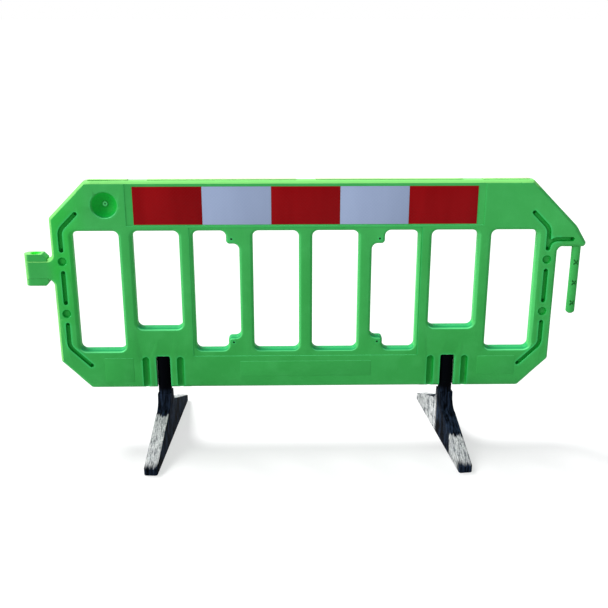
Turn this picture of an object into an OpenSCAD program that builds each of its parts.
// Pedestrian barrier panel: a moulded plastic panel that stands on two swivel feet.
// X runs along the panel, Y through it with the front at -Y, and Z up from the ground.

/* [Panel] */
// Length of the panel between its upright end faces
panel_len = 1866; // [1700:2:2000]
// Height of the panel's top edge above the ground
panel_top = 1020; // [960:1:1100]
// Height of the panel's bottom edge above the ground
panel_bottom = 215; // [190:1:240]
// Thickness of the panel
panel_t = 50; // [46:1:58]
// Width of the sloped edge round the panel and its openings
edge_slope = 10; // [6:0.5:11]
// Radius of the panel's outer corners
corner_r = 14; // [12:1:20]
// Size of the cut corner at the top left
top_corner = 135; // [110:1:145]
// Size of the two cut corners at the bottom
bottom_corner = 110; // [80:1:115]
// Rise of the bottom edge's slope from a foot to the panel's lower corner
sweep_h = 12; // [4:1:16]
// Height of the moulding seam's rib along the top edge
rib_h = 4; // [2:0.5:6]
// Width of the rib
rib_w = 16; // [8:1:22]
// Length of each flat break in the rib
rib_break = 70; // [30:1:100]
// Distance from the panel's ends to the outer breaks
rib_break_inset = 328; // [280:1:360]

/* [Openings] */
// Width of the stile between neighbouring openings
stile_w = 50; // [44:1:60]
// Width of the stiles at the panel's ends
end_stile_w = 78; // [74:1:90]
// Height of the rail above the openings
top_rail_h = 185; // [182:1:200]
// Height of the rail below the openings
bottom_rail_h = 155; // [150:1:170]
// Height of the rail below the two openings above the feet
foot_rail_h = 244; // [225:1:275]
// Radius of an opening's corners
opening_r = 22; // [14:1:30]

/* [Sign fixing] */
// Distance from an opening's upright inner edge to the sign plate's holes
sign_inset_x = 27.5; // [24:0.5:32]
// Distance from an opening's ends to the sign plate's holes
sign_inset_z = 30; // [26:1:36]
// Diameter of the sign plate's holes
sign_hole_d = 8; // [5:0.5:10]
// Distance from a hole to the free edges of its ear
ear_reach = 20; // [16:1:24]
// Radius of the ear's free corner
ear_r = 13; // [12:1:15]
// Margin of the sign field below the openings
field_low_margin = 25; // [15:1:35]
// Margin of the sign field above the openings
field_high_margin = 14; // [12:1:18]
// Depth of the field that the sign plate lies in
field_depth = 2; // [1:0.5:4]

/* [Reflective strip] */
// Distance from the panel's ends to the row of sheets
strip_inset = 308; // [290:1:330]
// Drop from the panel's top edge to the sheets
sheet_drop = 20; // [14:1:22]
// Height of a sheet
sheet_h = 140; // [120:1:142]
// Thickness of a sheet
sheet_t = 1; // [0.5:0.1:1.5]
// Gap between neighbouring sheets
sheet_gap = 0.6; // [0.2:0.1:3]
// Depth of the recess that the sheets lie in
strip_depth = 2; // [1.6:0.1:4]
// Margin of the recess below the row of sheets
strip_margin = 4; // [2:0.5:6]
// Margin of the recess at each end of the row
strip_end_margin = 27; // [5:1:30]

/* [Lamp dish] */
// Distance from the panel's left end to the dish's middle
dish_inset = 205; // [195:1:215]
// Drop from the panel's top edge to the dish's middle
dish_drop = 87; // [80:1:95]
// Diameter of the dish at the face
dish_d = 100; // [80:1:104]
// Depth of the dish
dish_depth = 32; // [15:1:34]
// Diameter of the drilling pip in the dish
pip_d = 18; // [12:1:24]
// Height of the pip
pip_h = 4; // [2:0.5:6]
// Diameter of the pip's drill point
pip_hole_d = 6; // [3:0.5:8]

/* [Stile grooves] */
// Distance from the panel's end to the grooves' middle line
groove_inset = 38; // [34:1:42]
// Width of a groove
groove_w = 16; // [10:1:20]
// Depth of the grooves and dots
groove_depth = 9; // [4:0.5:12]
// Radius of the grooves' bends, at the middle line
groove_bend_r = 45; // [25:1:55]
// Drop from the cut corner at the top to the grooves' upper bend
groove_high_gap = 44; // [36:1:60]
// Rise from the cut corners at the bottom to the grooves' lower bend
groove_low_gap = 62; // [50:1:75]
// Width of the slanted stretch at the grooves' upper end
high_slant = 60; // [40:1:64]
// Width of the slanted stretch at the grooves' lower end
low_slant = 78; // [50:1:84]
// Height of the groove towards the link pin above the arm's underside
arm_groove_rise = 30; // [26:1:36]
// Radius of that groove's bend, at its middle line
arm_groove_r = 34; // [20:1:34]
// Diameter of the tack pits at the grooves' ends
pit_d = 10; // [6:1:12]
// Depth of a pit below the groove's floor
pit_depth = 5; // [2:0.5:8]
// Diameter of a dot
dot_d = 34; // [20:1:36]
// Drop from the arm's underside to the upper dots
dot_drop = 48; // [42:1:56]
// Rise from the panel's bottom edge to the lower dots
dot_rise = 304; // [290:1:320]
// Distance from a dot's rim to the middle of the groove's round end
dot_margin = 26; // [18:1:30]

/* [Link] */
// Reach of the link arm and the socket beyond the panel's ends
arm_reach = 104; // [98:1:115]
// Drop from the panel's top edge to the arm's underside
arm_drop = 250; // [230:1:270]
// Distance from the arm's tip back to the bend in its slope
arm_bend = 37; // [30:1:45]
// Rise from the arm's tip to the bend in its slope
arm_bend_h = 60; // [50:1:70]
// Radius of the bend
arm_bend_r = 60; // [30:1:90]
// Height of the arm's upright tip
arm_tip_h = 16; // [16:1:24]
// Radius of the tip's corners
arm_tip_r = 12; // [11:0.5:12]
// Distance from the arm's tip to the link pin's middle
pin_inset = 29; // [26:1:34]
// Diameter of the link pin
pin_d = 33; // [28:1:36]
// Length of the pin below the arm
pin_len = 265; // [250:1:290]
// Length of the pin's tapered tip
pin_tip = 8; // [4:1:12]
// Diameter of the pin's spigot inside the arm
spigot_d = 24; // [14:1:26]
// Length of the spigot
spigot_len = 45; // [20:1:50]
// Length of the crossed tack marks on the pin
tack_len = 26; // [16:1:30]
// Width of a tack mark
tack_w = 5; // [3:0.5:8]
// Depth of a tack mark
tack_depth = 3; // [1:0.5:5]
// Distance between neighbouring tack marks
tack_pitch = 80; // [70:1:84]
// Distance from the arm to the first tack mark
tack_first = 61; // [42:1:66]
// Radial play of the next panel's pin in the socket
socket_play = 2.5; // [1:0.5:3]
// Clear height between the socket and the arm of the next panel
link_play = 20; // [10:1:30]
// Distance from the socket's outer end to the middle of its bore
socket_inset = 42; // [38:1:46]
// Height of the socket
socket_h = 121; // [105:1:135]
// Width of the socket block along the panel
socket_w = 84; // [80:1:90]
// Step from the neck's faces back to the socket's collars
collar_step = 3; // [1:0.5:3.5]
// Size of the cut corner at the socket's top
socket_cut = 16; // [8:1:20]
// Size of the cut corner at the socket's bottom
socket_low_cut = 8; // [4:1:12]
// Height of the neck between the panel and the socket
neck_h = 80; // [60:1:90]
// Radius of the inner corners at the arm and the neck
link_r = 20; // [8:1:22]

/* [Feet] */
// Distance from the panel's ends to the feet's middles
foot_inset = 388; // [370:1:400]
// Length of a foot
foot_len = 650; // [560:1:720]
// Width of a foot
foot_w = 50; // [40:1:52]
// Height of the toes
toe_h = 25; // [15:1:40]
// Radius of the toes' corners
toe_r = 9; // [3:1:16]
// Clear height between the foot's shoulder and the panel's bottom edge
shoulder_gap = 25; // [15:1:40]
// Width of the shoulder's ledge before and behind the post
shoulder_ledge = 3; // [1:0.5:10]
// Drop from the shoulder to the knee, where the toe's slope begins
knee_drop = 65; // [45:1:80]
// Distance along the foot from the shoulder to the knee
knee_reach = 51; // [35:1:70]
// Diameter of the foot's post
post_d = 52; // [46:1:54]
// Width of the cut edge round the post's top
post_edge = 6; // [3:1:8]
// Clear space between the post and the sides of its slot
slot_gap = 1; // [0.5:0.1:3]
// Height of the slot in the bottom rail
slot_h = 130; // [115:1:135]
// Radius of the slot's upper corners
slot_r = 8; // [4:1:14]
// Width of the round grooves beside a slot
flute_d = 26; // [16:1:30]
// Distance of these grooves from the middle of the slot
flute_x = 65.5; // [58:0.5:70]
// Height of these grooves
flute_h = 128; // [90:1:135]
// Angle that the left foot is turned by as it stands
left_foot_angle = -4; // [-10:1:10]
// Angle that the right foot is turned by as it stands
right_foot_angle = 6; // [-10:1:10]

/* [Pivot] */
// Diameter of the pivot bolt
bolt_d = 12; // [10:1:14]
// Width across the corners of the bolt's head
bolt_head_d = 20.8; // [18:0.1:24]
// Height of the bolt's head
bolt_head_h = 7.5; // [5:0.5:10]
// Drop from the slot's top to the seat inside the post
seat_drop = 115; // [90:1:130]
// Diameter of the washer under the bolt's head
head_washer_d = 28; // [24:1:30]
// Thickness of that washer
head_washer_t = 2.5; // [1.5:0.5:4]
// Clear space round that washer in the foot's well
well_gap = 2; // [1:0.5:4]
// Diameter of the thrust washer on top of the post
thrust_d = 40; // [28:1:42]
// Thickness of the thrust washer
thrust_t = 2; // [1:0.5:4]
// Width across the corners of the threaded insert
insert_d = 24; // [20:1:30]
// Length of the insert
insert_len = 30; // [20:1:40]
// Running gap above and below the post
run_gap = 0.3; // [0.2:0.1:0.8]
// Radial clearance of the bolt in the foot's bore
bore_gap = 0.1; // [0.05:0.01:0.1]
// Radial clearance of the bolt in its washers and insert
thread_gap = 0.05; // [0.02:0.01:0.1]

/* [Hidden] */
$fn = 48;
// Cuts run past the faces that they break through by this much
over = 1;
// Larger than any outline
far = 3000;
// Straight steps in a round corner, in a groove's bend and round its ends
corner_steps = 5;
bend_steps = 8;
cap_steps = 8;
green = [0.18, 0.6, 0.28];
red = [0.55, 0.07, 0.09];
white = [0.85, 0.87, 0.9];
black = [0.08, 0.08, 0.09];
steel = [0.65, 0.66, 0.68];

end_x = panel_len / 2;
face_y = panel_t / 2;
land_y = face_y - edge_slope;

opening_count = 8;
opening_pitch = (panel_len - 2 * end_stile_w + stile_w) / opening_count;
opening_w = opening_pitch - stile_w;
opening_x = [for (i = [0 : opening_count - 1]) (i - (opening_count - 1) / 2) * opening_pitch];
opening_top = panel_top - top_rail_h;
opening_bottom = panel_bottom + bottom_rail_h;
short_bottom = panel_bottom + foot_rail_h;

sign_x = sign_inset_x - opening_x[2] - opening_w / 2;
sign_low = opening_bottom + sign_inset_z;
sign_high = opening_top - sign_inset_z;
ear_x = sign_x + ear_reach;
ear_low = sign_low + ear_reach;
ear_high = sign_high - ear_reach;
field_x = opening_x[5] + opening_w / 2 + edge_slope + field_depth;
field_low = opening_bottom - field_low_margin;
field_high = opening_top + field_high_margin;

sheet_count = 5;
strip_half = end_x - strip_inset;
sheet_len = 2 * strip_half / sheet_count;
sheet_bottom = panel_top - sheet_drop - sheet_h;
strip_high = panel_top - edge_slope;

dish_x = end_x - dish_inset;
dish_z = panel_top - dish_drop;
dish_r = (dish_d * dish_d / 4 + dish_depth * dish_depth) / (2 * dish_depth);
dish_y = dish_depth - face_y - dish_r;
pip_y = dish_depth - face_y;

link_reach = end_x + arm_reach;
arm_under = panel_top - arm_drop;
arm_bend_x = link_reach - arm_bend;
arm_bend_z = arm_under + arm_tip_h + arm_bend_h;
// The arm's slope falls at 45 degrees from the top edge to the bend
arm_start = arm_bend_x - (panel_top - arm_bend_z);
arm_root = opening_x[opening_count - 1];
pin_x = link_reach - pin_inset;
pin_bottom = arm_under - pin_len;
socket_d = pin_d + 2 * socket_play;
socket_x = socket_inset - link_reach;
socket_right = socket_w - link_reach;
socket_top = arm_under - link_play;
socket_bottom = socket_top - socket_h;
neck_low = (socket_top + socket_bottom - neck_h) / 2;
neck_high = neck_low + neck_h;

groove_x = end_x - groove_inset;
groove_r = groove_w / 2;
dot_high_z = arm_under - dot_drop;
dot_low_z = panel_bottom + dot_rise;
dot_gap = dot_d / 2 + dot_margin;
high_bend_z = panel_top - top_corner - groove_high_gap;
low_bend_z = panel_bottom + bottom_corner + groove_low_gap;
arm_groove_z = arm_under + arm_groove_rise;

foot_x = end_x - foot_inset;
slot_w = post_d + 2 * slot_gap;
slot_top = panel_bottom + slot_h;
flute_top = panel_bottom + flute_h;
shoulder_z = panel_bottom - shoulder_gap;
shoulder_y = post_d / 2 + shoulder_ledge;
knee_z = shoulder_z - knee_drop;
knee_y = shoulder_y + knee_reach;
post_top = slot_top - thrust_t - run_gap;
seat_z = slot_top - seat_drop;
well_d = head_washer_d + 2 * well_gap;
washer_z = seat_z - run_gap - head_washer_t;
bolt_top = slot_top + insert_len - over;

// Outlines in X and Z, anticlockwise as seen from the front, and the radius at each of their corners
body_outline = [[bottom_corner - end_x, panel_bottom], [end_x - bottom_corner, panel_bottom],
    [end_x, panel_bottom + bottom_corner], [end_x, arm_groove_z],
    [arm_root + edge_slope + over, panel_top], [top_corner - end_x, panel_top],
    [-end_x, panel_top - top_corner], [-end_x, panel_bottom + bottom_corner]];
body_round = [corner_r, corner_r, corner_r, 0, 0, corner_r, corner_r, corner_r];
arm_outline = [[arm_root, arm_under], [link_reach, arm_under], [link_reach, arm_under + arm_tip_h],
    [arm_bend_x, arm_bend_z], [arm_start, panel_top], [arm_root, panel_top]];
arm_round = [0, arm_tip_r, arm_tip_r, arm_bend_r, corner_r, 0];
neck_end = -link_reach - 2 * edge_slope;
neck_outline = [[neck_end, neck_low], [-arm_root, neck_low], [-arm_root, neck_high], [neck_end, neck_high]];

function unit(v) = v / norm(v);
function angle_of(v) = atan2(v[1], v[0]);
function toward(angle) = [cos(angle), sin(angle)];
// Half the angle at corner q between its neighbours p and s, and the middle of an arc that rounds it
function half_angle(p, q, s) = acos(unit(p - q) * unit(s - q)) / 2;
function arc_middle(p, q, s, r) = q + unit(unit(p - q) + unit(s - q)) * r / sin(half_angle(p, q, s));

// Points of the arc of radius r that rounds corner q between p and s
function arc_points(p, q, s, r, steps) =
    let (middle = arc_middle(p, q, s, r),
        half = half_angle(p, q, s),
        start = angle_of(q + unit(p - q) * r / tan(half) - middle),
        step = sign(cross(q - p, s - q)) * (180 - 2 * half) / steps)
    [for (i = [0 : steps]) middle + r * toward(start + i * step)];

// Outline with its corners rounded; a radius of 0 leaves a corner sharp
function rounded(outline, radius) =
    let (count = len(outline))
    [for (i = [0 : count - 1])
        let (p = outline[(i + count - 1) % count], q = outline[i], s = outline[(i + 1) % count])
        for (point = radius[i] == 0 ? [q] : arc_points(p, q, s, radius[i], corner_steps)) point];

// Slab that fills one side of the line from p to q, with both of its long edges sloped
module edge_slab(p, q) {
    along = unit(q - p);
    translate([p[0], 0, p[1]])
        rotate([0, atan2(-along[0], -along[1]), 0])
            linear_extrude(2 * far, center = true)
                polygon([[0, -land_y], [edge_slope + over, -face_y - over], [far, -face_y - over],
                    [far, face_y + over], [edge_slope + over, face_y + over], [0, land_y]]);
}

// Plate with sloped edges inside an outward-bulging outline
module sloped_plate(outline) {
    last = len(outline) - 1;
    intersection() {
        intersection_for (i = [0 : last])
            edge_slab(outline[i], outline[i == last ? 0 : i + 1]);
        cube([2 * far, panel_t, 2 * far], center = true);
    }
}

// What a round corner with sloped edges takes off the sharp corner q between p and s
module corner_cut(p, q, s, r) {
    middle = arc_middle(p, q, s, r);
    back = r / tan(half_angle(p, q, s));
    reach = (r + over) / r;
    difference() {
        rotate([90, 0, 0])
            linear_extrude(panel_t + 2 * over, center = true)
                polygon([middle, middle + (q + unit(p - q) * back - middle) * reach,
                    middle + (q - middle) * reach, middle + (q + unit(s - q) * back - middle) * reach]);
        translate([middle[0], 0, middle[1]])
            rotate([-90, 0, 0])
                rotate_extrude()
                    polygon([[0, -face_y - 2 * over], [r - edge_slope, -face_y - 2 * over],
                        [r - edge_slope, -face_y], [r, -land_y], [r, land_y],
                        [r - edge_slope, face_y], [r - edge_slope, face_y + 2 * over],
                        [0, face_y + 2 * over]]);
    }
}

// Half section of a hole that widens towards both faces
function flared(r) = [[0, -face_y - over], [r + edge_slope + over, -face_y - over], [r, -land_y],
    [r, land_y], [r + edge_slope + over, face_y + over], [0, face_y + over]];

// Round hole through the panel, or a quarter of one
module flared_round(r, turn = 360) {
    rotate([-90, 0, 0])
        rotate_extrude(angle = turn)
            polygon(flared(r));
}

// Opening with round corners whose edges slope towards both faces
module opening_cut(left, right, low, high) {
    across = right - left - 2 * opening_r;
    up = high - low - 2 * opening_r;
    section = flared(opening_r);
    translate([(left + right) / 2, 0, (low + high) / 2]) {
        translate([0, 0, -up / 2])
            linear_extrude(up)
                for (side = [0, 1])
                    mirror([side, 0])
                        polygon([for (p = section) p[0] > 0 ? p + [across / 2, 0] : p]);
        for (side = [-90, 90])
            translate([0, 0, -sign(side) * up / 2])
                rotate([0, side, 0])
                    linear_extrude(across, center = true)
                        polygon(section);
        for (i = [0 : 3])
            rotate([0, i * 90, 0])
                translate(i % 2 == 0 ? [across / 2, 0, -up / 2] : [up / 2, 0, -across / 2])
                    flared_round(opening_r, 90);
    }
}

// The eight openings; two of them leave ears for a sign plate, and two stop above the feet
module openings() {
    for (i = [0, 1, 3, 4, 6, 7])
        opening_cut(opening_x[i] - opening_w / 2, opening_x[i] + opening_w / 2,
            i == 1 || i == 6 ? short_bottom : opening_bottom, opening_top);
    for (side = [0, 1])
        mirror([side, 0, 0]) {
            outer = opening_x[2] - opening_w / 2;
            inner = opening_x[2] + opening_w / 2;
            opening_cut(outer, -ear_x, opening_bottom, opening_top);
            opening_cut(outer, inner, ear_low, ear_high);
            corner_cut([-ear_x, opening_top], [-ear_x, ear_high], [inner, ear_high], ear_r);
            corner_cut([-ear_x, opening_bottom], [-ear_x, ear_low], [inner, ear_low], ear_r);
        }
}

// Places its children on both faces of the panel, at x, z and at a depth below the face
module on_faces(at, depth) {
    for (side = [0, 1])
        mirror([0, side, 0])
            translate([at[0], depth - face_y, at[1]])
                rotate([90, 0, 0])
                    children();
}

// Path from p to s with a round bend of radius r at q
function bent_path(p, q, s, r) = concat([p], arc_points(p, q, s, r, bend_steps), [s]);

// Outline of a groove along a path, with round ends
function groove_outline(path) =
    let (last = len(path) - 1,
        way = [for (i = [0 : last]) angle_of(path[min(i + 1, last)] - path[max(i - 1, 0)])])
    concat([for (i = [0 : last]) path[i] + groove_r * toward(way[i] - 90)],
        [for (a = [1 : cap_steps - 1]) path[last] + groove_r * toward(way[last] - 90 + a * 180 / cap_steps)],
        [for (i = [last : -1 : 0]) path[i] + groove_r * toward(way[i] + 90)],
        [for (a = [1 : cap_steps - 1]) path[0] + groove_r * toward(way[0] + 90 + a * 180 / cap_steps)]);

module groove(path) {
    on_faces([0, 0], groove_depth)
        linear_extrude(groove_depth + over)
            polygon(groove_outline(path));
}

// Deeper pits at the ends of the grooves, where the two walls are tacked together
module pits(points) {
    for (p = points)
        on_faces(p, groove_depth + pit_depth)
            cylinder(groove_depth + pit_depth, d = pit_d);
}

// Round dimple
module dot(z) {
    on_faces([groove_x, z], groove_depth)
        cylinder(groove_depth, d1 = dot_d - groove_depth, d2 = dot_d);
}

// Grooves, pits and dots down one end stile
module stile_grooves() {
    high_start = [groove_x - high_slant, high_bend_z + high_slant];
    high_end = [groove_x, dot_high_z + dot_gap];
    middle_start = [groove_x, dot_high_z - dot_gap];
    middle_end = [groove_x, dot_low_z + dot_gap];
    low_start = [groove_x, dot_low_z - dot_gap];
    low_end = [groove_x - low_slant, low_bend_z - low_slant];
    groove(bent_path(high_start, [groove_x, high_bend_z], high_end, groove_bend_r));
    groove([middle_start, middle_end]);
    groove(bent_path(low_start, [groove_x, low_bend_z], low_end, groove_bend_r));
    pits([high_start, high_end, middle_start, middle_end, low_start, low_end]);
    dot(dot_high_z);
    dot(dot_low_z);
}

// Groove that branches off the upper stile groove towards the link pin
module arm_groove() {
    corner = [groove_x + over, arm_groove_z];
    tip = [pin_x - pin_d / 2 - groove_r, arm_groove_z];
    groove(bent_path(corner - [0, arm_groove_r + over], corner, tip, arm_groove_r));
    pits([tip]);
}

// Round bowl for a warning lamp's foot, with a drilling pip at its middle
module dish() {
    difference() {
        translate([-dish_x, dish_y, dish_z])
            sphere(dish_r);
        translate([-dish_x, pip_y + over, dish_z])
            rotate([90, 0, 0])
                difference() {
                    cylinder(pip_h + over, d = pip_d);
                    translate([0, 0, over])
                        cylinder(pip_h + over, d = pip_hole_d);
                }
    }
}

// Shallow recesses for the reflective strip and the sign plate, in both faces
module face_recesses() {
    recess_half = strip_half + strip_end_margin;
    recess_low = sheet_bottom - strip_margin;
    for (side = [0, 1])
        mirror([0, side, 0]) {
            translate([-recess_half, -face_y - over, recess_low])
                cube([2 * recess_half, strip_depth + over, strip_high - recess_low]);
            translate([-field_x, -face_y - over, field_low])
                cube([2 * field_x, field_depth + over, field_high - field_low]);
        }
}

// Steeper cut that widens the bottom edge's slope from each foot to the lower corner
module bottom_sweep() {
    run = end_x - bottom_corner - foot_x;
    steep = (edge_slope + sweep_h) / edge_slope;
    low = edge_slope + 2 * sweep_h;
    for (end = [0, 1], side = [0, 1])
        mirror([end, 0, 0])
            mirror([0, side, 0])
                translate([foot_x, -face_y, panel_bottom + edge_slope])
                    rotate([0, -atan2(sweep_h, run), 0])
                        rotate([90, 0, 90])
                            linear_extrude(run + bottom_corner)
                                polygon([[-over, steep * over], [-over, -steep * low],
                                    [low, -steep * low]]);
}

// Slot for a foot's post, open below and on both faces, with the insert's pocket above it
module foot_slot() {
    translate([-slot_w / 2, -face_y - over, panel_bottom - over])
        cube([slot_w, panel_t + 2 * over, slot_top - slot_r - panel_bottom + over]);
    translate([slot_r - slot_w / 2, -face_y - over, slot_top - 2 * slot_r])
        cube([slot_w - 2 * slot_r, panel_t + 2 * over, 2 * slot_r]);
    for (side = [-1, 1])
        translate([side * (slot_w / 2 - slot_r), 0, slot_top - slot_r])
            rotate([90, 0, 0])
                cylinder(panel_t + 2 * over, r = slot_r, center = true);
    translate([0, 0, slot_top - over])
        cylinder(insert_len + over, d = insert_d, $fn = 6);
    for (x = [-flute_x, flute_x], y = [-face_y, face_y])
        translate([x, y, 0]) {
            translate([0, 0, panel_bottom - over])
                cylinder(flute_top - flute_d / 2 - panel_bottom + over, d = flute_d);
            translate([0, 0, flute_top - flute_d / 2])
                sphere(d = flute_d);
        }
}

// Round fill of an inner corner at x, z; the open side lies towards way_x, way_z
module inner_corner(x, z, way_x, way_z) {
    reach = link_r + edge_slope;
    translate([x + way_x * link_r, 0, z + way_z * link_r])
        difference() {
            translate([way_x > 0 ? -reach : 0, -face_y, way_z > 0 ? -reach : 0])
                cube([reach, panel_t, reach]);
            flared_round(link_r);
        }
}

// Upright block with a round outer end, from the socket's end to x; half is half its thickness
module nosed_block(half, x, low, high) {
    nose_r = half - over;
    translate([0, 0, low])
        linear_extrude(high - low)
            union() {
                translate([nose_r - link_reach, -half])
                    square([x + link_reach - nose_r, 2 * half]);
                translate([-link_reach, -over])
                    square([nose_r + over, 2 * over]);
                for (side = [-over, over])
                    translate([nose_r - link_reach, side])
                        circle(nose_r);
            }
}

// The socket's collars above and below the neck, with cut corners towards the panel
module socket_collars() {
    intersection() {
        nosed_block(face_y - collar_step, socket_right, socket_bottom, socket_top);
        rotate([90, 0, 0])
            linear_extrude(panel_t, center = true)
                polygon([[-link_reach - over, socket_bottom],
                    [socket_right - socket_low_cut, socket_bottom],
                    [socket_right, socket_bottom + socket_low_cut],
                    [socket_right, socket_top - socket_cut],
                    [socket_right - socket_cut, socket_top], [-link_reach - over, socket_top]]);
    }
}

// Rib along the seam on the top edge, with flat breaks in it
module top_rib() {
    left = top_corner + corner_r - end_x;
    right = arm_start - corner_r;
    break_x = end_x - rib_break_inset;
    difference() {
        translate([left, -rib_w / 2, panel_top - over])
            cube([right - left, rib_w, rib_h + over]);
        for (x = [-break_x, 0, break_x])
            translate([x - rib_break / 2, -rib_w, panel_top])
                cube([rib_break, 2 * rib_w, rib_h + over]);
    }
}

// The panel's solid outline: rails and stiles, link arm, neck and socket
module panel_body() {
    difference() {
        sloped_plate(rounded(body_outline, body_round));
        bottom_sweep();
    }
    sloped_plate(rounded(arm_outline, arm_round));
    intersection() {
        sloped_plate(neck_outline);
        nosed_block(face_y, groove_inset - end_x, socket_bottom, socket_top);
    }
    inner_corner(end_x, arm_under, 1, -1);
    inner_corner(-end_x, neck_high, -1, 1);
    inner_corner(-end_x, neck_low, -1, -1);
    socket_collars();
    top_rib();
}

module panel() {
    color(green)
        difference() {
            panel_body();
            face_recesses();
            openings();
            for (side = [0, 1])
                mirror([side, 0, 0])
                    stile_grooves();
            arm_groove();
            dish();
            for (x = [-foot_x, foot_x])
                translate([x, 0, 0])
                    foot_slot();
            for (x = [-sign_x, sign_x], z = [sign_low, sign_high])
                translate([x, 0, z])
                    rotate([90, 0, 0])
                        cylinder(panel_t + 2 * over, d = sign_hole_d, center = true);
            translate([socket_x, 0, socket_bottom - over])
                cylinder(socket_h + 2 * over, d = socket_d);
            translate([pin_x, 0, arm_under - over])
                cylinder(spigot_len + over, d = spigot_d);
        }
}

// Crossed tack marks pressed into the front and back of the pin
module tack_marks() {
    count = 3;
    for (i = [0 : count - 1], side = [-1, 1], lean = [-45, 45])
        translate([0, side * (pin_d / 2 - tack_depth + tack_len / 2),
                arm_under - tack_first - i * tack_pitch])
            rotate([0, lean, 0])
                cube([tack_len, tack_len, tack_w], center = true);
}

module link_pin() {
    color(green)
        translate([pin_x, 0, 0])
            difference() {
                union() {
                    translate([0, 0, pin_bottom + pin_tip])
                        cylinder(pin_len - pin_tip, d = pin_d);
                    translate([0, 0, pin_bottom])
                        cylinder(pin_tip, r1 = pin_d / 2 - pin_tip, r2 = pin_d / 2);
                    translate([0, 0, arm_under])
                        cylinder(spigot_len, d = spigot_d);
                }
                tack_marks();
            }
}

// Reflective sheet number i, red and white by turns
module sheet(i, rear = 0) {
    color(i % 2 == 1 ? red : white)
        mirror([0, rear, 0])
            translate([(i - 1) * sheet_len - strip_half + sheet_gap / 2,
                    strip_depth - sheet_t - face_y, sheet_bottom])
                cube([sheet_len - sheet_gap, sheet_t, sheet_h]);
}

// Side outline of a foot's flank, which bends in a quarter ellipse from the knee to the shoulder
function flank(steps) = [for (i = [0 : steps])
    let (a = 90 * i / steps)
    [knee_y - knee_reach * sin(a), shoulder_z - knee_drop * cos(a)]];

module foot(side, turn) {
    half = foot_len / 2;
    front = concat([[half, 0], [half, toe_h]], flank(6));
    back = [for (i = [len(front) - 1 : -1 : 0]) [-front[i][0], front[i][1]]];
    color(black)
        translate([side * foot_x, 0, 0])
            rotate([0, 0, turn])
                difference() {
                    union() {
                        intersection() {
                            rotate([90, 0, 90])
                                linear_extrude(foot_w, center = true)
                                    polygon(concat(front, back));
                            linear_extrude(shoulder_z + over)
                                union() {
                                    square([foot_w, foot_len - 2 * toe_r], center = true);
                                    square([foot_w - 2 * toe_r, foot_len], center = true);
                                    for (x = [-1, 1], y = [-1, 1])
                                        translate([x * (foot_w / 2 - toe_r), y * (half - toe_r)])
                                            circle(toe_r);
                                }
                        }
                        translate([0, 0, knee_z])
                            cylinder(post_top - post_edge - knee_z, d = post_d);
                        translate([0, 0, post_top - post_edge])
                            cylinder(post_edge, d1 = post_d, d2 = post_d - 2 * post_edge);
                    }
                    translate([0, 0, -over])
                        cylinder(seat_z + over, d = well_d);
                    cylinder(post_top + over, r = bolt_d / 2 + bore_gap);
                }
}

module pivot_bolt(side) {
    color(steel)
        translate([side * foot_x, 0, washer_z]) {
            translate([0, 0, -bolt_head_h])
                cylinder(bolt_head_h, d = bolt_head_d, $fn = 6);
            cylinder(bolt_top - washer_z, d = bolt_d);
        }
}

// Flat washer round the pivot bolt
module washer(side, z, d, t) {
    color(steel)
        translate([side * foot_x, 0, z])
            difference() {
                cylinder(t, d = d);
                translate([0, 0, -over])
                    cylinder(t + 2 * over, r = bolt_d / 2 + thread_gap);
            }
}

module insert(side) {
    color(steel)
        translate([side * foot_x, 0, slot_top])
            difference() {
                cylinder(insert_len, d = insert_d, $fn = 6);
                translate([0, 0, -over])
                    cylinder(insert_len + 2 * over, r = bolt_d / 2 + thread_gap);
            }
}

panel();
link_pin();
for (i = [1 : sheet_count]) {
    sheet(i);
    sheet(i, 1);
}
foot(-1, left_foot_angle);  // left_foot
foot(1, right_foot_angle);  // right_foot
pivot_bolt(-1);  // left_pivot_bolt
pivot_bolt(1);  // right_pivot_bolt
washer(-1, washer_z, head_washer_d, head_washer_t);  // left_head_washer
washer(1, washer_z, head_washer_d, head_washer_t);  // right_head_washer
washer(-1, slot_top - thrust_t, thrust_d, thrust_t);  // left_thrust_washer
washer(1, slot_top - thrust_t, thrust_d, thrust_t);  // right_thrust_washer
insert(-1);  // left_insert
insert(1);  // right_insert
